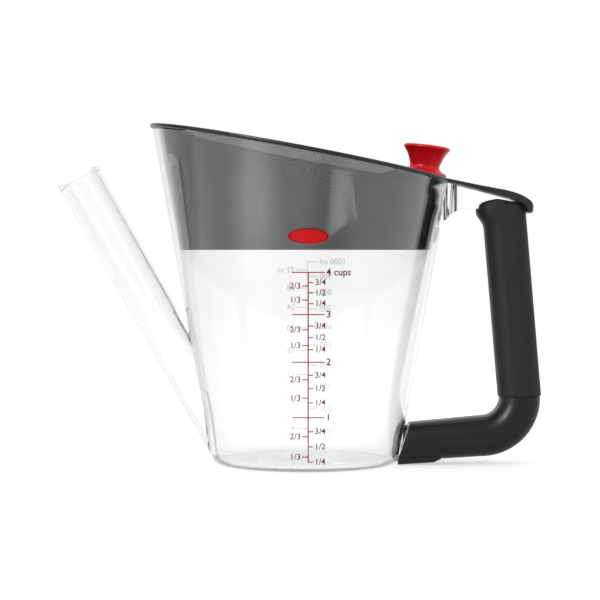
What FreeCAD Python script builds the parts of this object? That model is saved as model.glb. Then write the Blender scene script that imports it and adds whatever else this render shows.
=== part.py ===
import FreeCAD, Part
import math
import os

# Gravy fat separator: a clear cone-shaped jug with a long low spout, a strainer
# dropped into its mouth, a stopper parked on the strainer and a black handle.
# Millimetres. The jug stands on z = 0 with its axis on z. The spout leans to -x,
# the handle is on +x and the printed cup scale faces -y.

os.makedirs("parts", exist_ok=True)

V = FreeCAD.Vector
ORIGIN = V(0, 0, 0)
X_AXIS = V(1, 0, 0)
Y_AXIS = V(0, 1, 0)
Z_AXIS = V(0, 0, 1)

# Jug
jug_base_radius = 47.4
wall_draft = 10.05
jug_wall = 2.0
jug_floor = 2.6
base_corner_radius = 6.0
floor_corner_radius = 4.0
rim_height = 155.9
lid_tilt = 10.61

# Pouring spout
spout_tilt = 29.3
spout_length = 126.5
spout_root_height = 35.6
spout_mouth_radius = 11.2
spout_taper = 0.3
spout_wall = 1.4
spout_lip = 0.4
spout_lip_length = 2.2
port_top_height = 36.0
crotch_height = 78.4
crotch_round = 1.9
crotch_inset = 1.5
crotch_rise = 0.6
spout_lip_round = 0.36
web_half_width = 5.0

# Strainer
strainer_gap = 0.8
strainer_wall = 1.6
strainer_floor_height = 109.0
strainer_floor_thickness = 1.6
strainer_seat_gap = 0.2
flange_thickness = 1.8
flange_overhang = 1.0
flange_edge_round = 0.6
hole_radius = 1.6
hole_pitch = 8.0
hole_margin = 4.5
deck_wall = 1.6
pocket_foot = 26.0
pocket_draft = 7.3
pocket_slope = 20.0
pocket_edge_x = 23.4
pocket_edge_drop = 14.9
pocket_round = 4.0

# Thumb tail of the strainer
tail_half_width = 12.0
tail_root_half_width = 19.0
tail_root_length = 10.0
tail_bend_length = 16.3
tail_bend_drop = 6.4
tail_thickness = 2.9
tail_tip_drop = 0.9
tail_corner_round = 4.0
tail_grip_gap = 0.35

# Stopper
stopper_tilt = 7.0
stopper_inset = 8.2
stopper_base_radius = 11.5
stopper_flange_height = 1.7
stopper_side = [(9.3, 2.4), (7.6, 4.4), (8.0, 6.8), (9.4, 10.4)]
stopper_top_radius = 11.8
stopper_height = 15.3
stopper_crown_round = 1.3
stopper_seat_radius = 7.0
stopper_peg_radius = 3.0
stopper_peg_height = 6.5
stopper_peg_gap = 0.3
stopper_recess_gap = 0.6

# Handle
handle_half_width = 12.0
handle_edge_round = 8.0
elbow_reach = 42.3
elbow_height = 33.6
elbow_inner_radius = 9.3
elbow_outer_radius = 29.6
arm_top_slope = 5.4
arm_bottom_slope = 3.5
arm_end_tilt = 19.3
boss_width = 2.5
boss_inset = 0.7
spigot_length = 14.0
spigot_half_width = 5.0
spigot_height = 9.0
fit_gap = 0.05
pad_drop = 1.2
pad_length = 20.0
pad_ramp = 3.6
pad_half_width = 9.0
pad_sink = 0.2
seam_rise = 0.8
seam_slope = 2.5
seam_gap = 0.35
grip_lean = 4.95
grip_half_depth = 10.6
grip_proud = 0.4
grip_top_drop = 2.8
grip_top_round = 5.0
nose_drop = 7.2
nose_top = [(2.2, 2.2), (-0.6, 1.2), (-2.3, -0.4), (-2.7, -2.6)]
nose_chin = [(-2.5, -4.8), (-1.2, -7.0), (0.4, -9.4), (1.5, -13.6), (2.2, -18.6)]
post_half_depth = 6.2
post_half_width = 7.0
post_top_drop = 14.0
tongue_half_depth = 3.2
tongue_half_width = 4.0
tongue_length = 28.0

# Clear bridge from the jug's rim to the grip
bridge_half_width = 8.5
bridge_flare = 7.0
bridge_flare_length = 11.0
bridge_drop = 12.6
bridge_fillet_rise = 10.0
bridge_fillet_run = 13.5
bridge_fillet_bulge = 2.8
bridge_inset = 8.0
bridge_gap = 0.3

# Prints
print_thickness = 0.15
print_offset = 1.2
line_width = 0.5
badge_half_width = 10.0
badge_half_height = 3.6
badge_height = 115.3
four_cup_height = 98.1
one_cup_height = 28.3
cup_volume = 236588.0
low_cup_spacing = 30.2
long_tick_half = 7.8
left_tick = 3.0
right_tick = 2.4
litre_tick = 6.0

# Worked out from the sizes above
draft_slope = math.tan(math.radians(wall_draft))
lid_slope = math.tan(math.radians(lid_tilt))
wall_skew = 1 / math.cos(math.radians(wall_draft))
jug_inner_radius = jug_base_radius - jug_wall * wall_skew
skirt_outer_radius = jug_inner_radius - strainer_gap * wall_skew
skirt_inner_radius = skirt_outer_radius - strainer_wall * wall_skew
rim_reach = jug_base_radius + draft_slope * rim_height
quarter_bulge = 1 - math.sqrt(0.5)
model_height = rim_height + lid_slope * 1.5 * rim_reach
pocket_edge_height = rim_height - pocket_edge_drop
big = 3 * (rim_height + jug_base_radius)
tiny = 1e-6
near = 0.01


def outer_radius(height):
    """Jug's outer radius at a height."""
    return jug_base_radius + draft_slope * height


def lid_height(x):
    """Height of the jug's slanting rim at x."""
    return rim_height - lid_slope * x


def rim_end(table_radius):
    """Where a cone with this radius at the table meets the rim plane on the handle's side."""
    return (table_radius + draft_slope * rim_height) / (1 + draft_slope * lid_slope)


def cone(table_radius, low, high):
    """Solid cone with the jug's draft between two heights."""
    lower = table_radius + draft_slope * low
    upper = table_radius + draft_slope * high
    return Part.makeCone(lower, upper, high - low, V(0, 0, low))


def block(x_low, x_high, y_low, y_high, z_low, z_high):
    """Box between two corners."""
    return Part.makeBox(x_high - x_low, y_high - y_low, z_high - z_low, V(x_low, y_low, z_low))


def to_lid(shape):
    """Moves a shape made on z = 0 so that it lies on the jug's slanting rim plane."""
    placed = shape.copy()
    placed.rotate(ORIGIN, Y_AXIS, lid_tilt)
    placed.translate(V(0, 0, rim_height))
    return placed


def lid_slab(low, high):
    """Layer between two distances above the rim plane."""
    return to_lid(block(-big, big, -big, big, low, high))


def side_profile(edges, half_width):
    """Solid from edges drawn in the x-z plane, as wide as given to both sides."""
    face = Part.Face(Part.Wire(edges))
    solid = face.extrude(V(0, 2 * half_width, 0))
    solid.translate(V(0, -half_width, 0))
    return solid


def at(x, z, y=0.0):
    """Point in the x-z plane."""
    return V(x, y, z)


def line(start, end):
    """Straight edge."""
    return Part.makeLine(start, end)


def arc(start, middle, end):
    """Arc through three points."""
    return Part.Arc(start, middle, end).toShape()


def outline(points):
    """Closed ring of straight edges."""
    ring = list(points) + [points[0]]
    return [line(ring[i], ring[i + 1]) for i in range(len(points))]


def curve(points):
    """Smooth edge through points."""
    spline = Part.BSplineCurve()
    spline.interpolate(points)
    return spline.toShape()


def clean(shape):
    """Joins faces left split by the booleans and gives back one solid."""
    solids = shape.removeSplitter().Solids
    return solids[0] if len(solids) == 1 else Part.makeCompound(solids)


# Spout directions: the axis runs from the mouth down to the jug's wall
spout_angle = math.radians(spout_tilt)
spout_down = V(math.sin(spout_angle), 0, -math.cos(spout_angle))
spout_root = V(-outer_radius(spout_root_height), 0, spout_root_height)
spout_mouth = spout_root - spout_down * spout_length
spout_run = spout_length + 4 * spout_mouth_radius


def spout_cone(mouth_radius, start, length):
    """Tapered round bar on the spout's axis, from a distance below its mouth."""
    taper = math.tan(math.radians(spout_taper))
    upper = mouth_radius - taper * start
    lower = upper - taper * length
    return Part.makeCone(upper, lower, length, spout_mouth + spout_down * start, spout_down)


def spout_bore():
    """Space inside the spout, from above its mouth to inside the jug."""
    return spout_cone(spout_mouth_radius - spout_wall, -spout_mouth_radius, spout_run + spout_mouth_radius)


# Handle places
elbow_x = jug_base_radius + elbow_reach
elbow = at(elbow_x, elbow_height)
seam_height = elbow_height + seam_rise
grip_foot_x = elbow_x + (elbow_inner_radius + elbow_outer_radius) / 2
lean_slope = math.tan(math.radians(grip_lean))
grip_back_x = grip_foot_x + grip_half_depth - lean_slope * (lid_height(grip_foot_x) - seam_height)
grip_axis_top_x = grip_back_x - grip_half_depth
hook_back_x = grip_back_x + lean_slope * tail_bend_drop
hook_end = hook_back_x / math.cos(math.radians(lid_tilt)) + lid_slope * tail_bend_drop


def lean(shape):
    """Leans an upright shape back with the grip, about the grip's foot."""
    placed = shape.copy()
    placed.rotate(at(grip_foot_x, seam_height), Y_AXIS, -grip_lean)
    return placed


def on_elbow(radius, angle):
    """Point on a circle about the elbow's centre, its angle from +x."""
    turn = math.radians(angle)
    return elbow + at(radius * math.cos(turn), radius * math.sin(turn))


def arm_end_plane(shift):
    """Solid on the jug's side of the slanting face where the arm meets the boss."""
    top = elbow_height - elbow_inner_radius
    foot = at(outer_radius(top) + boss_width + shift, top)
    half = block(-big, 0, -big, big, -big, big)
    half.rotate(ORIGIN, Y_AXIS, arm_end_tilt)
    half.translate(foot)
    return half


def seam_half(offset):
    """Solid below the seam between the arm and the grip."""
    half = block(-big, big, -big, big, -big, 0)
    half.rotate(ORIGIN, Y_AXIS, -seam_slope)
    half.translate(at(grip_foot_x, seam_height + offset))
    return half


def bridge_solid(grow):
    """Clear bridge: its side profile crossed with its plan, larger all round by grow."""
    wall_x = rim_end(jug_base_radius)
    start_x = wall_x - 6 * jug_wall
    end_x = grip_axis_top_x + bridge_inset / 2
    top = bridge_gap - grip_top_drop
    top_left = at(start_x, lid_height(start_x))
    top_wall = at(wall_x, lid_height(wall_x))
    top_right = at(end_x, lid_height(end_x) + top)
    bottom = lid_height(wall_x) - bridge_drop - grow
    fillet_top_x = wall_x + bridge_fillet_run
    fillet_low = at(wall_x - draft_slope * bridge_drop - jug_wall, bottom - bridge_fillet_rise)
    fillet_mid = at(wall_x - jug_wall + bridge_fillet_bulge, bottom - quarter_bulge * bridge_fillet_rise)
    edges = [line(top_left, top_wall), line(top_wall, top_right)]
    edges.append(line(top_right, at(end_x, bottom)))
    edges.append(line(at(end_x, bottom), at(fillet_top_x, bottom)))
    edges.append(arc(at(fillet_top_x, bottom), fillet_mid, fillet_low))
    edges.append(line(fillet_low, at(start_x, fillet_low.z)))
    edges.append(line(at(start_x, fillet_low.z), top_left))
    side = side_profile(edges, 2 * bridge_half_width + bridge_flare)
    half = bridge_half_width + grow
    wide = half + bridge_flare
    root_x = wall_x - jug_wall
    neck_x = root_x + bridge_flare_length
    bend_x = root_x + quarter_bulge * bridge_flare_length
    bend_y = half + quarter_bulge * bridge_flare
    ring = [line(V(start_x, -wide, 0), V(root_x, -wide, 0))]
    ring.append(arc(V(root_x, -wide, 0), V(bend_x, -bend_y, 0), V(neck_x, -half, 0)))
    ring.append(line(V(neck_x, -half, 0), V(end_x, -half, 0)))
    ring.append(line(V(end_x, -half, 0), V(end_x, half, 0)))
    ring.append(line(V(end_x, half, 0), V(neck_x, half, 0)))
    ring.append(arc(V(neck_x, half, 0), V(bend_x, bend_y, 0), V(root_x, wide, 0)))
    ring.append(line(V(root_x, wide, 0), V(start_x, wide, 0)))
    ring.append(line(V(start_x, wide, 0), V(start_x, -wide, 0)))
    plan = Part.Face(Part.Wire(ring)).extrude(V(0, 0, big))
    return side.common(plan)


def tongue_solid(grow):
    """Tongue that turns down from the bridge into the top of the handle's post."""
    top = lid_height(grip_axis_top_x) - bridge_drop / 2
    low = top - tongue_length
    half_x = tongue_half_depth + grow
    half_y = tongue_half_width + grow
    return lean(block(grip_foot_x - half_x, grip_foot_x + half_x, -half_y, half_y, low, top))


def spigot_solid(grow):
    """Spigot that stands out of the jug's lower boss into the arm."""
    start = jug_base_radius - jug_wall
    end = outer_radius(elbow_height - elbow_inner_radius) + boss_width + spigot_length
    middle = (elbow_height - elbow_inner_radius + pad_drop) / 2
    half_z = spigot_height / 2 + grow
    half_y = spigot_half_width + grow
    return block(start, end + grow, -half_y, half_y, middle - half_z, middle + half_z)


def arm_solid(inset):
    """Arm and elbow as one rounded bar from the jug to the seam, thinner by inset."""
    inner = elbow_inner_radius + inset
    outer = elbow_outer_radius - inset
    top_tangent = on_elbow(inner, arm_top_slope - 90)
    bottom_tangent = on_elbow(outer, arm_bottom_slope - 90)
    run = elbow_x
    top_end = at(0, top_tangent.z - math.tan(math.radians(arm_top_slope)) * run)
    bottom_end = at(0, bottom_tangent.z - math.tan(math.radians(arm_bottom_slope)) * run)
    rise = 2 * seam_rise + elbow_outer_radius * math.tan(math.radians(seam_slope))
    inner_top = on_elbow(inner, 0) + at(0, rise)
    outer_top = on_elbow(outer, 0) + at(0, rise)
    edges = [line(top_end, top_tangent)]
    edges.append(arc(top_tangent, on_elbow(inner, -45), on_elbow(inner, 0)))
    edges.append(line(on_elbow(inner, 0), inner_top))
    edges.append(line(inner_top, outer_top))
    edges.append(line(outer_top, on_elbow(outer, 0)))
    edges.append(arc(on_elbow(outer, 0), on_elbow(outer, -45), bottom_tangent))
    edges.append(line(bottom_tangent, bottom_end))
    edges.append(line(bottom_end, top_end))
    half = handle_half_width - inset
    bar = side_profile(edges, half)
    long_edges = []
    for edge in bar.Edges:
        box = edge.BoundBox
        flat = box.YLength < tiny
        crosses_end = box.XLength < tiny and box.XMax < tiny
        crosses_top = box.ZMin > elbow_height + rise - tiny
        if flat and not crosses_end and not crosses_top:
            long_edges.append(edge)
    return bar.makeFillet(handle_edge_round - inset, long_edges)


def print_layer(front, solids):
    """Parts of solids that lie in the thin printed layer on the jug's outer wall."""
    layer = cone(jug_base_radius + print_thickness, 0, rim_height).cut(cone(jug_base_radius, 0, rim_height))
    side = -1 if front else 1
    half = block(-big, big, min(0, side * big), max(0, side * big), 0, big)
    return layer.common(half).common(solids[0].multiFuse(solids[1:]))


def scale_height(cups):
    """Height of the liquid for a volume, from the jug's cone, straight below one cup."""
    if cups < 1:
        return one_cup_height - low_cup_spacing * (1 - cups)
    per_volume = 3 * draft_slope / math.pi
    full = (jug_inner_radius + draft_slope * four_cup_height) ** 3
    missing = per_volume * cup_volume * (4 - cups)
    return ((full - missing) ** (1 / 3) - jug_inner_radius) / draft_slope


def tick(x_low, x_high, height):
    """One scale mark between two sideways places."""
    return block(x_low, x_high, -big, big, height - line_width / 2, height + line_width / 2)


def make_jug():
    """Jug wall and floor, with the bridge, its tongue, the lower boss and its spigot."""
    body = cone(jug_base_radius, 0, model_height)
    base_edge = [edge for edge in body.Edges if edge.BoundBox.ZMax < tiny]
    body = body.makeFillet(base_corner_radius, base_edge)
    space = cone(jug_inner_radius, jug_floor, model_height + 1)
    floor_edge = [edge for edge in space.Edges if edge.BoundBox.ZMax < jug_floor + tiny]
    space = space.makeFillet(floor_corner_radius, floor_edge)
    boss = arm_solid(boss_inset).common(arm_end_plane(0))
    boss = boss.common(block(jug_inner_radius / 2, big, -big, big, -big, big))
    spigot = spigot_solid(0)
    body = body.multiFuse([bridge_solid(0), tongue_solid(0), boss, spigot])
    body = body.cut(space).common(lid_slab(-big, 0))
    port = spout_bore().common(block(-big, 0, -big, big, jug_floor, port_top_height))
    return clean(body.cut(port))


def make_spout():
    """Spout tube with its lip and the web in the crotch, up to the jug's wall."""
    tube = spout_cone(spout_mouth_radius, 0, spout_run)
    lip = spout_cone(spout_mouth_radius + spout_lip, 0, spout_lip_length)
    lip_edges = [edge for edge in lip.Edges if edge.Closed]
    lip = lip.makeFillet(spout_lip_round, lip_edges)
    web_x = -outer_radius(crotch_height)
    web_low = web_x - 3 * crotch_round
    web_high = web_x + crotch_round
    web = block(web_low, web_high, -web_half_width, web_half_width, spout_root_height, crotch_height)
    notch_foot = at(web_x - crotch_inset, crotch_height + crotch_rise, -2 * web_half_width)
    notch = Part.makeCylinder(crotch_round, 4 * web_half_width, notch_foot, Y_AXIS)
    jug_side = block(0, big, -big, big, -big, big)
    jug_side.rotate(ORIGIN, Y_AXIS, -spout_tilt)
    jug_side.translate(spout_mouth)
    solid = tube.multiFuse([lip, web.cut(notch).common(jug_side)])
    jug = cone(jug_base_radius, -spout_mouth_radius, model_height)
    left_side = block(-big, 0, -big, big, 0, big)
    solid = solid.cut(spout_bore()).cut(jug).common(left_side)
    pieces = sorted(solid.Solids, key=lambda piece: piece.Volume)
    return clean(pieces[-1])


def pocket_space(inset):
    """Space under the strainer's deck and behind its drafted pocket wall, smaller by inset."""
    wall = block(inset, big, -big, big, -big, big)
    wall.rotate(ORIGIN, Y_AXIS, -pocket_draft)
    wall.translate(at(pocket_foot, strainer_floor_height))
    slope = block(-big, big, -big, big, -big, -inset)
    slope.rotate(ORIGIN, Y_AXIS, -pocket_slope)
    slope.translate(at(pocket_edge_x, pocket_edge_height))
    space = wall.common(slope)
    corner_place = at(pocket_edge_x, pocket_edge_height)
    corner = [edge for edge in space.Edges if (edge.CenterOfMass - corner_place).Length < 2 * pocket_round]
    space = space.makeFillet(pocket_round - inset, corner)
    low = strainer_floor_height - abs(inset)
    deck = strainer_seat_gap + flange_thickness - inset
    return space.common(cone(skirt_inner_radius, low, model_height)).common(lid_slab(-big, deck))


def make_skirt():
    """Conical wall of the strainer, from its floor up to the black rim."""
    outer = cone(skirt_outer_radius, strainer_floor_height, model_height)
    inner = cone(skirt_inner_radius, strainer_floor_height - 1, model_height + 1)
    return clean(outer.cut(inner).common(lid_slab(-big, strainer_seat_gap)))


def make_strainer_floor():
    """Perforated floor of the strainer's bowl."""
    plate = cone(skirt_inner_radius, strainer_floor_height, strainer_floor_height + strainer_floor_thickness)
    plate = plate.cut(pocket_space(-fit_gap))
    reach = skirt_inner_radius + draft_slope * strainer_floor_height - hole_margin
    rows = int(reach / hole_pitch) + 1
    holes = []
    for row in range(-rows, rows + 1):
        y = row * hole_pitch * math.sqrt(3) / 2
        for column in range(-rows, rows + 1):
            x = (column + 0.5 * (row % 2)) * hole_pitch
            if math.hypot(x, y) < reach and x < pocket_foot - hole_margin:
                foot = V(x, y, strainer_floor_height - 1)
                holes.append(Part.makeCylinder(hole_radius, strainer_floor_thickness + 2, foot))
    return clean(plate.cut(Part.makeCompound(holes)))


def stopper_place():
    """Centre of the stopper's base, on the strainer's deck."""
    x = rim_end(skirt_inner_radius) - stopper_inset
    top = (strainer_seat_gap + flange_thickness) / math.cos(math.radians(lid_tilt))
    return at(x, lid_height(x) + top)


def to_stopper(shape):
    """Moves a shape made upright at the origin to the parked stopper's place."""
    placed = shape.copy()
    placed.rotate(ORIGIN, Y_AXIS, stopper_tilt)
    placed.translate(stopper_place())
    return placed


def make_deck():
    """Deck that the stopper stands on and the wall that drops from it to the floor."""
    shell = pocket_space(0).cut(pocket_space(deck_wall))
    seat = to_stopper(Part.makeCylinder(stopper_seat_radius, deck_wall, V(0, 0, -deck_wall)))
    peg = Part.makeCylinder(stopper_peg_radius, stopper_peg_height + deck_wall, V(0, 0, -deck_wall))
    tip_edge = [edge for edge in peg.Edges if edge.BoundBox.ZMin > stopper_peg_height - tiny]
    peg = to_stopper(peg.makeFillet(stopper_peg_radius / 4, tip_edge))
    recess = to_stopper(Part.makeCylinder(stopper_base_radius + stopper_recess_gap, stopper_height))
    lower = strainer_floor_height + 2 * strainer_floor_thickness
    skirt = cone(skirt_inner_radius, lower, model_height)
    inside = seat.common(skirt)
    return clean(shell.cut(recess).multiFuse([inside, peg]))


def tail_solid():
    """Thumb tail: a strap in the rim's plane that hooks down behind the grip."""
    top = strainer_seat_gap + flange_thickness
    start = rim_end(skirt_outer_radius) / math.cos(math.radians(lid_tilt))
    end = hook_end + tail_thickness + tail_grip_gap
    bend = end - tail_bend_length
    under = top - tail_thickness - tail_grip_gap
    inner_run = tail_bend_length - tail_thickness
    inner_drop = tail_bend_drop - tail_thickness / 2
    outer_bend = []
    inner_bend = []
    for i in range(5):
        run = math.sin(i * math.pi / 8)
        fall = 1 - math.cos(i * math.pi / 8)
        outer_bend.append(at(bend + tail_bend_length * run, top - tail_bend_drop * fall))
        inner_bend.append(at(bend + inner_run * run, under - inner_drop * fall))
    outer_tip = outer_bend[-1]
    inner_tip = inner_bend[-1]
    tip = at((outer_tip.x + inner_tip.x) / 2, min(outer_tip.z, inner_tip.z) - tail_tip_drop)
    root = at(start + tail_root_length, strainer_seat_gap)
    edges = [line(at(start, top), at(bend, top)), curve(outer_bend)]
    edges.append(arc(outer_tip, tip, inner_tip))
    edges.append(curve(inner_bend[::-1]))
    edges.append(line(at(bend, under), root))
    edges.append(line(root, at(start, strainer_seat_gap)))
    edges.append(line(at(start, strainer_seat_gap), at(start, top)))
    strap = side_profile(edges, tail_root_half_width)
    wide = tail_root_half_width
    half = tail_half_width
    neck = start + tail_root_length + tail_thickness
    corner = tail_corner_round
    far = end + tail_thickness
    shoulder = V(neck - tail_root_length / 2, -(wide + half) / 2, 0)
    ring = [line(V(start, -wide, 0), shoulder), line(shoulder, V(neck + tail_root_length / 2, -half, 0))]
    ring.append(line(V(neck + tail_root_length / 2, -half, 0), V(end - corner, -half, 0)))
    slant = corner * quarter_bulge
    ring.append(arc(V(end - corner, -half, 0), V(end - slant, -half + slant, 0), V(end, -half + corner, 0)))
    ring.append(line(V(end, -half + corner, 0), V(far, 0, 0)))
    mirrored = [edge.mirror(ORIGIN, Y_AXIS) for edge in ring]
    wire = Part.Wire(Part.__sortEdges__(ring + mirrored + [line(V(start, -wide, 0), V(start, wide, 0))]))
    plan = Part.Face(wire).extrude(V(0, 0, big))
    plan.translate(V(0, 0, -big / 2))
    return to_lid(strap.common(plan))


def make_rim():
    """Black rim that hangs the strainer on the jug, with its thumb tail."""
    ring = cone(jug_base_radius + flange_overhang, 0, model_height)
    ring = ring.common(lid_slab(strainer_seat_gap, strainer_seat_gap + flange_thickness))
    ring = ring.makeFillet(flange_edge_round, [edge for edge in ring.Edges if edge.Closed])
    ring = ring.fuse(tail_solid())
    seat = Part.makeCylinder(stopper_seat_radius + fit_gap, stopper_height, V(0, 0, -stopper_height / 2))
    bowl = cone(skirt_inner_radius, 0, model_height + 1)
    ring = ring.cut(bowl).cut(to_stopper(seat))
    return clean(ring)


def make_stopper():
    """Red stopper: a spool with a wide foot and a wider top, hollow to take its peg."""
    lip = stopper_flange_height
    edge = lip / 2
    foot = stopper_base_radius
    crown = stopper_crown_round
    side = [at(foot - edge, lip)] + [at(radius, height) for radius, height in stopper_side]
    brim = at(stopper_top_radius, stopper_height - crown)
    crown_middle = at(stopper_top_radius - quarter_bulge * crown, stopper_height - quarter_bulge * crown)
    crown_end = at(stopper_top_radius - crown, stopper_height)
    bore = stopper_peg_radius + stopper_peg_gap
    depth = stopper_peg_height + stopper_peg_gap
    edges = [line(at(bore, 0), at(foot - edge, 0))]
    edges.append(arc(at(foot - edge, 0), at(foot, edge), at(foot - edge, lip)))
    edges.append(curve(side + [brim]))
    edges.append(arc(brim, crown_middle, crown_end))
    edges.append(line(crown_end, at(0, stopper_height)))
    edges.append(line(at(0, stopper_height), at(0, depth)))
    edges.append(line(at(0, depth), at(bore, depth)))
    edges.append(line(at(bore, depth), at(bore, 0)))
    solid = Part.Face(Part.Wire(edges)).revolve(ORIGIN, Z_AXIS, 360)
    return to_stopper(solid)


def grip_post(grow):
    """Upright core that the grip is moulded over."""
    top = lid_height(grip_axis_top_x) - post_top_drop
    low = elbow_height
    half_x = post_half_depth + grow
    half_y = post_half_width + grow
    return lean(block(grip_foot_x - half_x, grip_foot_x + half_x, -half_y, half_y, low, top + grow))


def under_arm(x, drop):
    """Point a distance under the arm's lower edge."""
    slope = math.tan(math.radians(arm_bottom_slope))
    return at(x, elbow_height - elbow_outer_radius - slope * (elbow_x - x) - drop)


def make_frame():
    """Hard black handle frame: the arm, the elbow, the foot pad and the post in the grip."""
    arm = arm_solid(0).common(seam_half(0))
    inside = spigot_half_width + pad_drop
    start = jug_base_radius - boss_width - pad_length
    end = start + 2 * pad_length
    points = [under_arm(start, pad_drop), under_arm(end, pad_drop), under_arm(end + pad_ramp, -pad_sink)]
    points += [under_arm(end + pad_ramp, -inside), under_arm(start, -inside)]
    pad = side_profile(outline(points), pad_half_width)
    arm = arm.multiFuse([pad, grip_post(0)]).cut(arm_end_plane(0))
    arm = arm.cut(cone(jug_base_radius + fit_gap, -jug_wall, elbow_height))
    return clean(arm.cut(spigot_solid(fit_gap)).cut(tongue_solid(fit_gap)))


def grip_bar():
    """Upright rounded bar of the grip, leant back."""
    half = handle_half_width + grip_proud
    top = lid_height(grip_axis_top_x) + grip_half_depth
    front = grip_foot_x - grip_half_depth
    back = grip_foot_x + grip_half_depth
    bar = block(front, back, -half, half, seam_height - grip_top_round, top)
    upright = [edge for edge in bar.Edges if edge.BoundBox.ZLength > grip_half_depth]
    return lean(bar.makeFillet(handle_edge_round, upright))


def nose_section(front, height):
    """Level outline of the nose, from its rounded front back to the grip's axis."""
    half = handle_half_width + grip_proud
    bulge = quarter_bulge * handle_edge_round
    edges = []
    for side in (-half, half):
        inward = math.copysign(1, -side)
        flank = V(front + handle_edge_round, side, height)
        middle = V(front + bulge, side + inward * bulge, height)
        tip = V(front, side + inward * handle_edge_round, height)
        edges += [line(V(grip_axis_top_x, side, height), flank), Part.Arc(flank, middle, tip).toShape()]
    for x, y in ((front, half - handle_edge_round), (grip_axis_top_x, half)):
        edges.append(line(V(x, -y, height), V(x, y, height)))
    return Part.Wire(Part.__sortEdges__(edges))


def grip_nose():
    """Nose in front of the grip's top, which closes round the bridge and fades into the grip."""
    front = grip_axis_top_x - grip_half_depth
    crest = lid_height(front) - nose_drop
    return Part.makeLoft([nose_section(front + x, crest + z) for x, z in nose_top + nose_chin], True)


def make_grip():
    """Soft grip sleeve with the nose that closes round the bridge."""
    sleeve = grip_bar().cut(seam_half(seam_gap)).common(lid_slab(-big, -grip_top_drop))
    loop = []
    for edge in sleeve.Edges:
        point = edge.CenterOfMass
        up = (point.z - rim_height) * math.cos(math.radians(lid_tilt))
        if abs(up + point.x * math.sin(math.radians(lid_tilt)) + grip_top_drop) < near:
            loop.append(edge)
    grip = sleeve.makeFillet(grip_top_round, loop).fuse(grip_nose())
    return clean(grip.cut(grip_post(fit_gap)).cut(bridge_solid(fit_gap)).cut(tongue_solid(fit_gap)))


def make_badge():
    """Small oval badge printed on the front, left plain."""
    oval = Part.Ellipse(ORIGIN, badge_half_width, badge_half_height)
    face = Part.Face(Part.Wire(oval.toShape()))
    face.rotate(ORIGIN, X_AXIS, 90)
    solid = face.extrude(V(0, -big, 0))
    solid.translate(V(print_offset, 0, badge_height))
    return print_layer(True, [solid])


def make_cup_scale():
    """Front scale: an upright line with cup marks and marks for thirds and quarters."""
    middle = print_offset
    low = scale_height(0.25)
    marks = [block(middle - line_width / 2, middle + line_width / 2, -big, big, low, scale_height(4))]
    for cups in range(1, 5):
        height = scale_height(cups)
        marks.append(tick(middle - long_tick_half, middle + long_tick_half, height))
        for part in (1 / 3, 2 / 3):
            marks.append(tick(middle - left_tick, middle, scale_height(cups - part)))
        for part in (1 / 4, 1 / 2, 3 / 4):
            marks.append(tick(middle, middle + right_tick, scale_height(cups - part)))
    return clean(print_layer(True, marks))


def make_litre_scale():
    """Rear scale: an upright line with a mark for each tenth of a litre and each 4 ounces."""
    middle = print_offset
    litre = 1000000 / cup_volume
    low = scale_height(0.25)
    marks = [block(middle - line_width / 2, middle + line_width / 2, -big, big, low, scale_height(litre))]
    for tenth in range(1, 11):
        marks.append(tick(middle, middle + litre_tick, scale_height(litre * tenth / 10)))
    for half_cup in range(1, 9):
        marks.append(tick(middle - litre_tick, middle, scale_height(half_cup / 2)))
    return clean(print_layer(False, marks))


PIECES = {
    "jug_body": make_jug,
    "pour_spout": make_spout,
    "strainer_skirt": make_skirt,
    "strainer_floor": make_strainer_floor,
    "strainer_deck": make_deck,
    "strainer_rim": make_rim,
    "stopper": make_stopper,
    "handle_frame": make_frame,
    "handle_grip": make_grip,
    "badge_oval": make_badge,
    "cup_scale": make_cup_scale,
    "litre_scale": make_litre_scale,
}

for name, make in PIECES.items():
    shape = make()
    shape.exportStep("parts/" + name + ".step")
    box = shape.BoundBox
    print(
        name, "solids", len(shape.Solids), "valid", shape.isValid(), "volume", round(shape.Volume, 1),
        "x", round(box.XMin, 1), round(box.XMax, 1), "y", round(box.YMin, 1), round(box.YMax, 1),
        "z", round(box.ZMin, 1), round(box.ZMax, 1),
    )
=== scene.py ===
"""Looks of the gravy fat separator: finishes, printed scales, studio and camera."""

import logging
import math
from dataclasses import dataclass, field
from enum import Enum
from typing import Any, Iterable

import bmesh
import bpy
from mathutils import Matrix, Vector


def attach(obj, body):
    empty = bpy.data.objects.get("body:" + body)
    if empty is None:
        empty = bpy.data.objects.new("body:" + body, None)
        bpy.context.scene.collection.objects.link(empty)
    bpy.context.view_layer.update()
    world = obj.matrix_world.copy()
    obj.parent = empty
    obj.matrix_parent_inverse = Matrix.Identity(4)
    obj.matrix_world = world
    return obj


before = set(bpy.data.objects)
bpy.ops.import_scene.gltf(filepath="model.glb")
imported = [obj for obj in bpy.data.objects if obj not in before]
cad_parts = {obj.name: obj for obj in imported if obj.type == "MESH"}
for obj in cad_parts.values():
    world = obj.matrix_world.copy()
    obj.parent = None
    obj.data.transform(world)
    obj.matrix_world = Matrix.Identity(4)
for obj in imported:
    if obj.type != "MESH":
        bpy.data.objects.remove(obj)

logging.basicConfig(level=logging.INFO, format="%(message)s")
log = logging.getLogger("fat_separator")

MM = 0.001
CUBIC_MM_PER_LITRE = 1000000
OUNCES_PER_CUP = 8
CAPITAL_SHARE = 0.72
NOISE_MIDDLE = 0.5
Colour = tuple[float, float, float]
Point = tuple[float, float, float]
WHITE: Colour = (1.0, 1.0, 1.0)
BLACK: Colour = (0.0, 0.0, 0.0)


class Side(Enum):
    """Side of the jug that a print is read from."""

    FRONT = -1
    BACK = 1


class Align(Enum):
    """Where a label starts from its place."""

    LEFT = "LEFT"
    RIGHT = "RIGHT"


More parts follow.
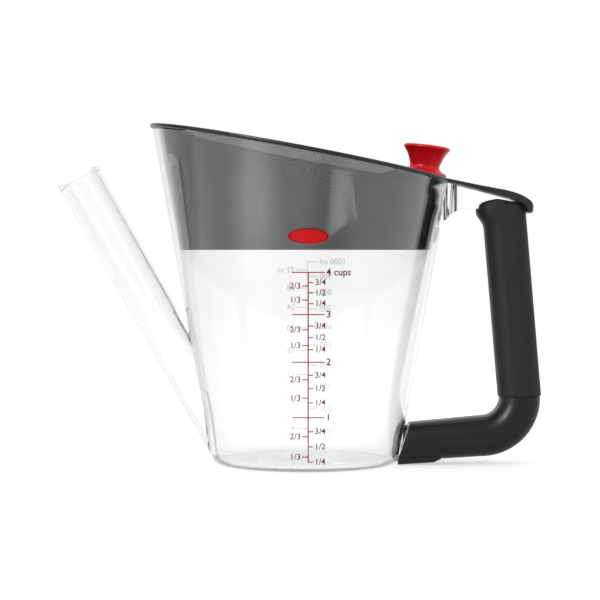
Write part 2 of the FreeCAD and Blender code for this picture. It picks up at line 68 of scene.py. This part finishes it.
class Level:
    """A value that varies over a surface, with Python's operators as Math nodes."""

    def __init__(self, recipe: "Recipe", socket: bpy.types.NodeSocket) -> None:
        """Keeps the recipe that the socket belongs to.

        Args:
            recipe: the material's node builder.
            socket: the output socket to work on.
        """
        self.recipe = recipe
        self.socket = socket

    def _math(self, operation: str, first: "Level | float", second: "Level | float") -> "Level":
        """Adds one Math node.

        Args:
            operation: the node's operation.
            first: the first value.
            second: the second value.

        Returns:
            The node's result.
        """
        node = self.recipe.node("ShaderNodeMath", {"operation": operation}, {0: first, 1: second})
        return Level(self.recipe, node.outputs[0])

    def __add__(self, other: "Level | float") -> "Level":
        """Sum."""
        return self._math("ADD", self, other)

    def __radd__(self, other: float) -> "Level":
        """Sum with a number on the left."""
        return self._math("ADD", other, self)

    def __sub__(self, other: "Level | float") -> "Level":
        """Difference."""
        return self._math("SUBTRACT", self, other)

    def __rsub__(self, other: float) -> "Level":
        """Difference from a number on the left."""
        return self._math("SUBTRACT", other, self)

    def __mul__(self, other: "Level | float") -> "Level":
        """Product."""
        return self._math("MULTIPLY", self, other)

    def __rmul__(self, other: float) -> "Level":
        """Product with a number on the left."""
        return self._math("MULTIPLY", other, self)

    def __truediv__(self, other: "Level | float") -> "Level":
        """Quotient."""
        return self._math("DIVIDE", self, other)

    def __pow__(self, other: float) -> "Level":
        """Power."""
        return self._math("POWER", self, other)

    def __gt__(self, other: "Level | float") -> "Level":
        """One where this is greater, and zero elsewhere."""
        return self._math("GREATER_THAN", self, other)

    def highest(self, other: "Level | float") -> "Level":
        """Greater of the two at each point."""
        return self._math("MAXIMUM", self, other)


class Recipe:
    """Builds one material's nodes."""

    last_bend = 5.5  # light that has bent more often than this goes straight through
    mix_colours = (6, 7)  # the Mix node's two colour inputs
    mix_result = 2  # and its colour output

    def __init__(self, tree: bpy.types.NodeTree) -> None:
        """Empties the tree.

        Args:
            tree: a material's or the world's node tree.
        """
        self.tree = tree
        self.tree.nodes.clear()

    def node(
        self, kind: str, settings: dict[str, Any], inputs: dict[str | int, Any]
    ) -> bpy.types.Node:
        """Adds a node, its settings before its inputs.

        Args:
            kind: the node's type name.
            settings: attributes to set first; "stops" gives a ramp's places and colours.
            inputs: a number, colour, socket or Level for each input, by name or place.

        Returns:
            The new node.
        """
        made = self.tree.nodes.new(kind)
        for name, value in settings.items():
            if name == "stops":
                self._stops(made.color_ramp, value)
            else:
                setattr(made, name, value)
        for name, value in inputs.items():
            socket = made.inputs[name]
            if isinstance(value, Level):
                value = value.socket
            if isinstance(value, bpy.types.NodeSocket):
                self.tree.links.new(value, socket)
            elif isinstance(value, tuple) and len(value) == 3 and socket.type == "RGBA":
                socket.default_value = (*value, 1.0)
            else:
                socket.default_value = value
        return made

    @staticmethod
    def _stops(ramp: bpy.types.ColorRamp, stops: Iterable[tuple[float, Colour]]) -> None:
        """Fills a colour ramp.

        Args:
            ramp: the ramp of a new node, with two stops.
            stops: place and colour of each stop.
        """
        listed = list(stops)
        while len(ramp.elements) < len(listed):
            ramp.elements.new(1.0)
        for element, (place, colour) in zip(ramp.elements, listed):
            element.position = place
            element.color = (*colour, 1.0)

    def value(self, node: bpy.types.Node, output: str | int = 0) -> Level:
        """Output of a node as a value to work with."""
        return Level(self, node.outputs[output])

    def place(self) -> bpy.types.NodeSocket:
        """Position on the piece in the row frame, in metres."""
        return self.node("ShaderNodeTexCoord", {}, {}).outputs["Object"]

    def noise(self, scale: float, detail: float = 3.0, roughness: float = 0.5) -> Level:
        """Noise over the piece.

        Args:
            scale: cells per metre.
            detail: octaves.
            roughness: strength of the finer octaves.

        Returns:
            The noise from 0 to 1.
        """
        inputs = {"Vector": self.place(), "Scale": scale, "Detail": detail, "Roughness": roughness}
        return self.value(self.node("ShaderNodeTexNoise", {}, inputs), "Fac")

    def blend(self, factor: Level | float, first: Any, second: Any) -> bpy.types.NodeSocket:
        """Mixes two colours.

        Args:
            factor: share of the second colour.
            first: a colour or colour socket.
            second: a colour or colour socket.

        Returns:
            The mixed colour's socket.
        """
        made = self.node("ShaderNodeMix", {"data_type": "RGBA"}, {"Factor": factor})
        for place, value in zip(self.mix_colours, (first, second)):
            socket = made.inputs[place]
            if isinstance(value, bpy.types.NodeSocket):
                self.tree.links.new(value, socket)
            else:
                socket.default_value = (*value, 1.0)
        return made.outputs[self.mix_result]

    def ramp(self, factor: Level, stops: Iterable[tuple[float, Colour]]) -> bpy.types.NodeSocket:
        """Colours for a value from 0 to 1.

        Args:
            factor: the value.
            stops: place and colour of each stop.

        Returns:
            The colour's socket.
        """
        return self.node("ShaderNodeValToRGB", {"stops": stops}, {"Fac": factor}).outputs["Color"]

    def bump(self, height: Level, distance: float, strength: float) -> bpy.types.NodeSocket:
        """Normal roughened by a height.

        Args:
            height: the height, from 0 to 1.
            distance: depth of the relief in metres.
            strength: share of the relief that shows.

        Returns:
            The normal's socket.
        """
        inputs = {"Height": height, "Distance": distance, "Strength": strength}
        return self.node("ShaderNodeBump", {}, inputs).outputs["Normal"]

    def facing(self, blend: float) -> Level:
        """Zero where the surface faces the eye and one at its grazing edge."""
        return self.value(self.node("ShaderNodeLayerWeight", {}, {"Blend": blend}), "Facing")

    def surface(self, inputs: dict[str | int, Any]) -> bpy.types.Node:
        """Principled shader with these inputs."""
        return self.node("ShaderNodeBsdfPrincipled", {}, inputs)

    def out(self, shader: bpy.types.NodeSocket, kind: str = "ShaderNodeOutputMaterial") -> None:
        """Sends a shader to the output.

        Args:
            shader: the shader's socket.
            kind: the output node's type name.
        """
        self.node(kind, {}, {"Surface": shader})

    def lay(
        self, share: Level, under: bpy.types.NodeSocket, over: bpy.types.NodeSocket
    ) -> bpy.types.NodeSocket:
        """Lays one shader over another.

        Args:
            share: how much of the upper one shows.
            under: the lower shader's socket.
            over: the upper shader's socket.

        Returns:
            The mixed shader's socket.
        """
        return self.node("ShaderNodeMixShader", {}, {0: share, 1: under, 2: over}).outputs[0]

    def light_through(
        self, shader: bpy.types.NodeSocket, tint: Colour, trapped: Colour
    ) -> bpy.types.NodeSocket:
        """Lets lamp light, and light that has bent often, straight through a wall.

        Args:
            shader: the wall's own shader.
            tint: colour of the lamp light that comes through.
            trapped: colour of the light that leaves after many bends.

        Returns:
            The mixed shader's socket.
        """
        path = self.node("ShaderNodeLightPath", {}, {})
        bent = self.value(path, "Ray Depth") > self.last_bend
        shadow = self.value(path, "Is Shadow Ray")
        lights = shadow.highest(self.value(path, "Is Diffuse Ray"))
        for share, colour in ((bent, trapped), (lights, tint)):
            clear = self.node("ShaderNodeBsdfTransparent", {}, {"Color": colour}).outputs[0]
            shader = self.lay(share, shader, clear)
        return shader


def new_material(name: str) -> tuple[bpy.types.Material, Recipe]:
    """Makes an empty material.

    Args:
        name: the material's name.

    Returns:
        The material and its node builder.
    """
    material = bpy.data.materials.new(name)
    material.use_nodes = True
    return material, Recipe(material.node_tree)


@dataclass(frozen=True)
class ClearPlastic:
    """See-through moulded plastic, with painted shade where the wall is seen edge-on.

    The body's colour turns to the edge's between the two shade starts below, and to the
    rim's at the grazing edge: painted shade that greys the wall's outlines. The shade
    tints lamp light that comes through, and trapped tints light that leaves the wall after
    many bends.
    """

    name: str
    body: Colour
    # edge and rim are painted shade: the greys laid on the wall towards its outline
    edge: Colour
    shade: Colour
    trapped: Colour
    rim: Colour
    edge_shade_start: float = 0.15
    grazing_shade_start: float = 0.8
    roughness: float = 0.02
    unevenness: float = 0.03
    index: float = 1.49
    flow_scale: float = 35.0

    def build(self) -> bpy.types.Material:
        """Makes the material with faint flow marks of moulding.

        Returns:
            The material.
        """
        material, recipe = new_material(self.name)
        # painted shade: the colour greys from the body's to the edge's and the rim's towards the
        # outline
        facing = recipe.facing(blend=0.5)
        stops = [(0.0, self.body), (self.edge_shade_start, self.body)]
        stops += [(self.grazing_shade_start, self.edge), (1.0, self.rim)]
        colour = recipe.ramp(facing, stops)
        flow = recipe.noise(self.flow_scale, detail=2.0)
        shader = recipe.surface({
            "Base Color": colour,
            "Roughness": self.roughness + self.unevenness * flow,
            "IOR": self.index,
            "Transmission Weight": 1.0,
        })
        recipe.out(recipe.light_through(shader.outputs[0], self.shade, self.trapped))
        return material


@dataclass(frozen=True)
class HardPlastic:
    """Opaque moulded plastic with a fine satin grain."""

    name: str
    dark: Colour
    light: Colour
    roughness: float
    grain_scale: float
    grain_depth: float
    specular: float = 0.25
    broad_scale: float = 60.0
    unevenness: float = 0.10
    relief: float = 0.35

    def build(self) -> bpy.types.Material:
        """Makes the material.

        Returns:
            The material.
        """
        material, recipe = new_material(self.name)
        broad = recipe.noise(self.broad_scale)
        grain = recipe.noise(self.grain_scale, detail=2.0)
        shader = recipe.surface({
            "Base Color": recipe.blend(broad, self.dark, self.light),
            "Roughness": self.roughness + self.unevenness * (broad - NOISE_MIDDLE),
            "Specular IOR Level": self.specular,
            "Normal": recipe.bump(grain, self.grain_depth, self.relief),
        })
        recipe.out(shader.outputs[0])
        return material


@dataclass(frozen=True)
class SoftRubber:
    """Soft rubber or silicone: matte, with a light bloom at grazing angles."""

    name: str
    dark: Colour
    light: Colour
    roughness: float
    grain_scale: float
    grain_depth: float
    sheen: float
    specular: float = 0.2
    broad_scale: float = 90.0
    unevenness: float = 0.12
    relief: float = 0.5
    sheen_roughness: float = 0.5

    def build(self) -> bpy.types.Material:
        """Makes the material.

        Returns:
            The material.
        """
        material, recipe = new_material(self.name)
        broad = recipe.noise(self.broad_scale, detail=4.0)
        grain = recipe.noise(self.grain_scale, roughness=0.6)
        shader = recipe.surface({
            "Base Color": recipe.blend(broad, self.dark, self.light),
            "Roughness": self.roughness + self.unevenness * (broad - NOISE_MIDDLE),
            "Specular IOR Level": self.specular,
            "Sheen Weight": self.sheen,
            "Sheen Roughness": self.sheen_roughness,
            "Normal": recipe.bump(grain, self.grain_depth, self.relief),
        })
        recipe.out(shader.outputs[0])
        return material


@dataclass(frozen=True)
class Ink:
    """Screen print in a slightly patchy flat colour, solid where its cover is one."""

    name: str
    full: Colour
    thin: Colour
    cover: float = 1.0
    roughness: float = 0.4
    unevenness: float = 0.1
    specular: float = 0.2
    patch_scale: float = 900.0

    def build(self) -> bpy.types.Material:
        """Makes the material.

        Returns:
            The material.
        """
        material, recipe = new_material(self.name)
        patchy = recipe.noise(self.patch_scale)
        shader = recipe.surface({
            "Base Color": recipe.blend(patchy, self.full, self.thin),
            "Roughness": self.roughness + self.unevenness * patchy,
            "Specular IOR Level": self.specular,
            "Alpha": self.cover,
        })
        recipe.out(shader.outputs[0])
        return material


@dataclass(frozen=True)
class BadgeInk:
    """Glossy red oval print with a thin darker border line."""

    name: str
    full: Colour
    border: Colour
    centre: tuple[float, float]
    half: tuple[float, float]
    border_from: float = 0.86
    border_to: float = 0.95
    roughness: float = 0.22
    unevenness: float = 0.08
    specular: float = 0.2
    patch_scale: float = 700.0

    def build(self) -> bpy.types.Material:
        """Makes the material; the oval's edge is at one in its own measure.

        Returns:
            The material.
        """
        material, recipe = new_material(self.name)
        split = recipe.node("ShaderNodeSeparateXYZ", {}, {0: recipe.place()})
        across = (recipe.value(split, "X") - self.centre[0]) / self.half[0]
        up = (recipe.value(split, "Z") - self.centre[1]) / self.half[1]
        reach = (across * across + up * up) ** 0.5
        ring = (reach > self.border_from) * (1.0 - (reach > self.border_to))
        patchy = recipe.noise(self.patch_scale, detail=2.0)
        shader = recipe.surface({
            "Base Color": recipe.blend(ring, self.full, self.border),
            "Roughness": self.roughness + self.unevenness * patchy,
            "Specular IOR Level": self.specular,
        })
        recipe.out(shader.outputs[0])
        return material


def add_object(name: str, data: bpy.types.ID) -> bpy.types.Object:
    """Adds an object to the scene.

    Args:
        name: the object's name.
        data: its mesh, letters, light or lens.

    Returns:
        The object.
    """
    made = bpy.data.objects.new(name, data)
    bpy.context.scene.collection.objects.link(made)
    return made


def add_sheet(name: str, reach: float) -> bpy.types.Object:
    """Adds a flat square.

    Args:
        name: the square's name.
        reach: half of its side.

    Returns:
        The square.
    """
    mesh = bpy.data.meshes.new(name)
    corners = ((-reach, -reach), (reach, -reach), (reach, reach), (-reach, reach))
    mesh.from_pydata([(x, y, 0.0) for x, y in corners], [], [(0, 1, 2, 3)])
    return add_object(name, mesh)


def aim(obj: bpy.types.Object, place: Point, target: Point) -> None:
    """Puts a lamp or the camera in its place, turned to a point.

    Args:
        obj: the lamp or the camera.
        place: where it goes, in metres.
        target: the point that it faces, in metres.
    """
    obj.location = place
    direction = Vector(target) - Vector(place)
    obj.rotation_euler = direction.to_track_quat("-Z", "Y").to_euler()


def dress(obj: bpy.types.Object, material: bpy.types.Material) -> None:
    """Gives an object one material.

    Args:
        obj: a CAD node or a new piece.
        material: the finish.
    """
    if not obj.material_slots:
        obj.data.materials.append(material)
    for slot in obj.material_slots:
        slot.material = material


def dress_node(name: str, material: bpy.types.Material) -> None:
    """Gives a CAD node its finish and reports it.

    Args:
        name: the node's name.
        material: the finish.
    """
    dress(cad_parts[name], material)
    log.info("%s: %s", name, material.name)


@dataclass
class JugCone:
    """Round cone of the jug's wall and its volumes, in millimetres."""

    base_radius: float = 47.4
    draft: float = 10.05
    inner_radius: float = 45.37
    four_cups: float = 98.1
    one_cup: float = 28.3
    low_spacing: float = 30.2
    cup: float = 236588.0

    @property
    def slope(self) -> float:
        """Growth of the radius with height."""
        return math.tan(math.radians(self.draft))

    def radius(self, height: float) -> float:
        """Outer radius at a height, in millimetres."""
        return self.base_radius + self.slope * height

    def scale_height(self, cups: float) -> float:
        """Height of the mark for a volume.

        Args:
            cups: the volume in cups.

        Returns:
            The height in millimetres.
        """
        if cups < 1:
            return self.one_cup - self.low_spacing * (1 - cups)
        full = (self.inner_radius + self.slope * self.four_cups) ** 3
        missing = 3 * self.slope / math.pi * self.cup * (4 - cups)
        return ((full - missing) ** (1 / 3) - self.inner_radius) / self.slope

    def wrap(self, side: Side, across: float, height: float, proud: float) -> Vector:
        """Point of a flat print laid round the wall.

        Args:
            side: side that the print is read from.
            across: distance to the reader's right of the middle, in millimetres.
            height: height in millimetres.
            proud: distance out of the wall in millimetres.

        Returns:
            The point in metres.
        """
        radius = self.radius(height)
        angle = across / radius
        reach = radius + proud
        x = -side.value * reach * math.sin(angle)
        return Vector((x, side.value * reach * math.cos(angle), height)) * MM


@dataclass
class Label:
    """One printed word or number, in millimetres."""

    text: str
    across: float
    height: float
    size: float
    align: Align = Align.LEFT
    stroke: float = 0.0


@dataclass
class Labels:
    """All the labels of one printed scale, laid on the jug's wall as one piece."""

    name: str
    side: Side
    finish: Ink
    slot: str
    labels: list[Label] = field(default_factory=list)
    cone: JugCone = field(default_factory=JugCone)
    thickness: float = 0.12
    lift: float = 0.02
    smoothness: int = 3

    def add(self, label: Label) -> None:
        """Adds one label."""
        self.labels.append(label)

    def _flat(self, label: Label) -> bpy.types.Mesh:
        """Letters as a flat mesh with their own thickness, in millimetres.

        Args:
            label: the label.

        Returns:
            The mesh, with its baseline at half its height below zero.
        """
        curve = bpy.data.curves.new("letters", "FONT")
        curve.body = label.text
        curve.size = label.size / CAPITAL_SHARE
        curve.align_x = label.align.value
        curve.align_y = "CENTER"
        curve.extrude = self.thickness / 2
        curve.offset = label.stroke
        curve.resolution_u = self.smoothness
        holder = add_object("letters", curve)
        bpy.context.view_layer.update()
        mesh = bpy.data.meshes.new_from_object(holder)
        bpy.data.objects.remove(holder)
        bpy.data.curves.remove(curve)
        return mesh

    def build(self) -> bpy.types.Object:
        """Lays every label round the jug.

        Returns:
            The piece.
        """
        joined = bmesh.new()
        for label in self.labels:
            flat = self._flat(label)
            start = len(joined.verts)
            joined.from_mesh(flat)
            joined.verts.ensure_lookup_table()
            for vertex in joined.verts[start:]:
                x, y, z = vertex.co
                proud = self.lift + self.thickness / 2 + z
                across, height = label.across + x, label.height + y
                vertex.co = self.cone.wrap(self.side, across, height, proud)
            bpy.data.meshes.remove(flat)
        bmesh.ops.recalc_face_normals(joined, faces=joined.faces)
        mesh = bpy.data.meshes.new(self.name)
        joined.to_mesh(mesh)
        joined.free()
        piece = add_object(self.name, mesh)
        dress(piece, self.finish.build())
        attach(piece, "jug")
        log.info("%s: %d labels", self.name, len(self.labels))
        return piece


@dataclass
class Prints:
    """The badge, the cup scale and the millilitre and ounce scale, in millimetres."""

    middle: float = 1.2
    numeral: float = 3.4
    numeral_start: float = 8.6
    numeral_stroke: float = 0.06
    fraction: float = 3.0
    fraction_stroke: float = 0.03
    thirds_end: float = 3.6
    quarters_start: float = 3.1
    rear_numeral: float = 3.3
    rear_start: float = 6.8
    rear_stroke: float = 0.04
    badge_height: float = 115.3
    badge_half: tuple[float, float] = (10.0, 3.6)
    cone: JugCone = field(default_factory=JugCone)

    def front(self, ink: Ink) -> Labels:
        """Labels of the cup scale.

        Args:
            ink: the labels' finish.

        Returns:
            The labels, ready to build.
        """
        labels = Labels("cup_labels", Side.FRONT, ink, "scale_red")
        left, right = self.middle - self.thirds_end, self.middle + self.quarters_start
        for cups in range(1, 5):
            text = f"{cups} cups" if cups == 4 else str(cups)
            across, height = self.middle + self.numeral_start, self.cone.scale_height(cups)
            labels.add(Label(text, across, height, self.numeral, stroke=self.numeral_stroke))
            for part, text in ((1, "2/3"), (2, "1/3")):
                height = self.cone.scale_height(cups - part / 3)
                label = Label(text, left, height, self.fraction, Align.RIGHT, self.fraction_stroke)
                labels.add(label)
            for part, text in ((1, "3/4"), (2, "1/2"), (3, "1/4")):
                height = self.cone.scale_height(cups - part / 4)
                label = Label(text, right, height, self.fraction, stroke=self.fraction_stroke)
                labels.add(label)
        return labels

    def back(self, ink: Ink) -> Labels:
        """Labels of the millilitre and ounce scale.

        Args:
            ink: the labels' finish.

        Returns:
            The labels, ready to build.
        """
        labels = Labels("litre_labels", Side.BACK, ink, "scale_grey")
        size, stroke = self.rear_numeral, self.rear_stroke
        litre = CUBIC_MM_PER_LITRE / self.cone.cup
        for tenth in range(1, 11):
            height = self.cone.scale_height(litre * tenth / 10)
            text = f"{tenth * 100} ml" if tenth == 10 else str(tenth * 100)
            across = -self.middle - self.rear_start
            labels.add(Label(text, across, height, size, Align.RIGHT, stroke))
        for ounces in range(4, 33, 4):
            height = self.cone.scale_height(ounces / OUNCES_PER_CUP)
            text = f"{ounces} oz" if ounces == 32 else str(ounces)
            across = -self.middle + self.rear_start
            labels.add(Label(text, across, height, size, stroke=stroke))
        return labels

    def badge(self) -> BadgeInk:
        """Finish of the oval badge, in metres.

        Returns:
            The finish.
        """
        across, up = self.badge_half
        return BadgeInk(
            name="badge_red",
            full=(0.76, 0.004, 0.008),
            border=(0.20, 0.008, 0.012),
            centre=(self.middle * MM, self.badge_height * MM),
            half=(across * MM, up * MM),
        )

    def build(self) -> None:
        """Prints everything on the jug."""
        red = Ink("ink_red", (0.34, 0.010, 0.020), (0.42, 0.02, 0.03))
        dark_red = Ink("ink_dark_red", (0.13, 0.007, 0.012), (0.17, 0.010, 0.015))
        grey = Ink("ink_grey", (0.88, 0.87, 0.87), (0.93, 0.92, 0.92), cover=0.35)
        dress_node("cup_scale", red.build())
        dress_node("litre_scale", grey.build())
        dress_node("badge_oval", self.badge().build())
        self.front(dark_red).build()
        self.back(grey).build()


@dataclass
class Jug:
    """Clear jug and spout."""

    finish: ClearPlastic = ClearPlastic(
        name="clear_plastic",
        body=(0.978, 0.981, 0.981),
        # edge and rim: painted shade at the clear wall's outlines
        edge=(0.82, 0.83, 0.84),
        shade=(0.97, 0.97, 0.97),
        trapped=(0.73, 0.74, 0.75),
        rim=(0.4, 0.41, 0.42),
    )

    def build(self) -> None:
        """Dresses the jug's body and the spout."""
        material = self.finish.build()
        for node in ("jug_body", "pour_spout"):
            dress_node(node, material)


@dataclass
class Strainer:
    """Smoke grey basket with its black rim."""

    smoke: ClearPlastic = ClearPlastic(
        name="smoke_plastic",
        body=(0.10, 0.10, 0.105),
        # edge and rim: painted shade at the smoke wall's outlines
        edge=(0.04, 0.04, 0.042),
        shade=(0.25, 0.25, 0.26),
        trapped=(0.1, 0.1, 0.1),
        rim=(0.03, 0.03, 0.03),
    )
    rim: HardPlastic = HardPlastic(
        name="black_rim",
        dark=(0.012, 0.012, 0.013),
        light=(0.02, 0.02, 0.021),
        roughness=0.28,
        grain_scale=1400.0,
        grain_depth=0.00004,
        specular=0.3,
    )

    def build(self) -> None:
        """Dresses the basket, its floor, its deck and its rim."""
        smoke = self.smoke.build()
        for node in ("strainer_skirt", "strainer_floor", "strainer_deck"):
            dress_node(node, smoke)
        dress_node("strainer_rim", self.rim.build())


@dataclass
class Stopper:
    """Red silicone stopper."""

    finish: SoftRubber = SoftRubber(
        name="red_silicone",
        dark=(0.72, 0.004, 0.010),
        light=(0.80, 0.007, 0.014),
        roughness=0.34,
        grain_scale=1500.0,
        grain_depth=0.00003,
        sheen=0.0,
    )

    def build(self) -> None:
        """Dresses the stopper."""
        dress_node("stopper", self.finish.build())


@dataclass
class Handle:
    """Hard black arm with the soft grip."""

    hard: HardPlastic = HardPlastic(
        name="hard_black",
        dark=(0.005, 0.0045, 0.005),
        light=(0.009, 0.0085, 0.009),
        roughness=0.36,
        grain_scale=1800.0,
        grain_depth=0.00005,
    )
    soft: SoftRubber = SoftRubber(
        name="soft_black",
        dark=(0.014, 0.013, 0.0145),
        light=(0.020, 0.0185, 0.0205),
        roughness=0.62,
        grain_scale=1600.0,
        grain_depth=0.00006,
        sheen=0.05,
    )

    def build(self) -> None:
        """Dresses the arm and the grip."""
        dress_node("handle_frame", self.hard.build())
        dress_node("handle_grip", self.soft.build())


@dataclass
class Lamp:
    """One soft box that faces a point of the object."""

    name: str
    place: Point
    size: tuple[float, float]
    power: float
    target: Point = (0.0, 0.0, 0.09)

    def build(self) -> None:
        """Adds the lamp."""
        light = bpy.data.lights.new(self.name, "AREA")
        light.shape = "RECTANGLE"
        light.size, light.size_y = self.size
        light.energy = self.power
        aim(add_object(self.name, light), self.place, self.target)


@dataclass
class Card:
    """One studio card that only glossy surfaces reflect, fading out to its rim.

    Half is half its width and depth, core is the share of them that has the full
    strength, and turn is in degrees. An inner card is also met by light that has
    passed through a clear wall.
    """

    name: str
    place: Point
    half: tuple[float, float]
    strength: float
    turn: tuple[float, float, float]
    core: float
    inner: bool = False

    def build(self) -> None:
        """Adds the card, as part of the studio."""
        card = add_sheet(self.name, 1.0)
        card.location = self.place
        card.scale = (*self.half, 1.0)
        card.rotation_euler = [math.radians(angle) for angle in self.turn]
        card.visible_camera = card.visible_diffuse = card.visible_shadow = False
        card.visible_transmission = self.inner
        material, recipe = new_material(self.name)
        length = recipe.node("ShaderNodeVectorMath", {"operation": "LENGTH"}, {0: recipe.place()})
        inward = (1.0 - recipe.value(length, "Value")) / (1.0 - self.core)
        smooth = {"interpolation_type": "SMOOTHSTEP"}
        cover = recipe.value(recipe.node("ShaderNodeMapRange", smooth, {"Value": inward}))
        clear = recipe.node("ShaderNodeBsdfTransparent", {}, {}).outputs[0]
        light = {"Color": WHITE, "Strength": self.strength}
        glow = recipe.node("ShaderNodeEmission", {}, light).outputs[0]
        recipe.out(recipe.lay(cover, clear, glow))
        dress(card, material)


@dataclass
class Studio:
    """Camera, soft boxes, white surround and pale floor."""

    camera_place: Point = (-0.0028, -1.0, 0.1088)
    camera_target: Point = (-0.0028, 0.0, 0.0833)
    lens: float = 117.7
    sensor: float = 36.0
    clip: tuple[float, float] = (0.01, 50.0)
    surround: float = 0.7
    floor_colour: Colour = (0.6, 0.6, 0.6)
    floor_glow: float = 0.55
    floor_reach: float = 4.0
    floor_drop: float = 0.0002
    floor_roughness: float = 0.9
    lamps: list[Lamp] = field(default_factory=lambda: [
        Lamp("key_left", (-0.9, -0.9, 1.1), (0.42, 0.42), 4.2),
        Lamp("fill_right", (1.1, -0.5, 0.8), (0.6, 1.0), 2.2),
        Lamp("top_soft", (0.0, 0.3, 1.4), (1.0, 0.8), 3.0),
    ])
    cards: list[Card] = field(default_factory=lambda: [
        Card(
            "bright_card", (-0.32, -0.38, 0.002), (0.22, 0.30), 2.2, (0.0, 0.0, -40.0),
            core=0.1, inner=True,
        ),
        Card("dark_card", (0.14, -0.42, 0.003), (0.17, 0.36), 0.2, (0.0, 0.0, 18.0), core=0.1),
        Card("key_card", (-0.71, -1.07, 0.53), (0.36, 0.36), 40.0, (68.0, 0.0, -33.4), core=0.2),
        Card("side_card", (-0.56, 0.22, 0.16), (0.20, 0.30), 0.02, (0.0, 90.0, 0.0), core=0.7),
    ])

    def build(self) -> None:
        """Sets the whole studio up."""
        self._camera()
        self._world()
        self._floor()
        for part in (*self.lamps, *self.cards):
            part.build()
        bpy.context.scene.view_settings.view_transform = "Standard"

    def _camera(self) -> None:
        """Adds the camera at the photograph's viewing angle."""
        data = bpy.data.cameras.new("camera")
        data.lens = self.lens
        data.sensor_width = self.sensor
        data.clip_start, data.clip_end = self.clip
        camera = add_object("camera", data)
        aim(camera, self.camera_place, self.camera_target)
        bpy.context.scene.camera = camera

    @staticmethod
    def _seen(recipe: Recipe) -> Level:
        """One for rays that show a surface itself, and zero for those that light another."""
        path = recipe.node("ShaderNodeLightPath", {}, {})
        camera = recipe.value(path, "Is Camera Ray")
        glossy = recipe.value(path, "Is Glossy Ray")
        return camera.highest(glossy).highest(recipe.value(path, "Is Transmission Ray"))

    def _world(self) -> None:
        """Makes the surround white where it is seen and plain where it lights."""
        world = bpy.data.worlds.new("surround")
        bpy.context.scene.world = world
        world.use_nodes = True
        recipe = Recipe(world.node_tree)
        strength = self.surround + (1.0 - self.surround) * self._seen(recipe)
        inputs = {"Color": WHITE, "Strength": strength}
        shader = recipe.node("ShaderNodeBackground", {}, inputs)
        recipe.out(shader.outputs[0], "ShaderNodeOutputWorld")

    def _floor(self) -> None:
        """Adds the pale floor, which keeps the object's shadow."""
        floor = add_sheet("floor", self.floor_reach)
        floor.location = (0.0, 0.0, -self.floor_drop)
        material, recipe = new_material("pale_floor")
        glow = recipe.blend(self._seen(recipe), BLACK, (self.floor_glow,) * 3)
        shader = recipe.surface({
            "Base Color": self.floor_colour,
            "Roughness": self.floor_roughness,
            "Emission Color": glow,
            "Emission Strength": 1.0,
        })
        recipe.out(shader.outputs[0])
        dress(floor, material)


def main() -> None:
    """Dresses the frame, adds the prints and sets the studio up."""
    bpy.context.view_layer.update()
    for group in (Studio(), Jug(), Strainer(), Stopper(), Handle(), Prints()):
        log.info("building %s", type(group).__name__)
        group.build()


if __name__ == "__main__":
    main()
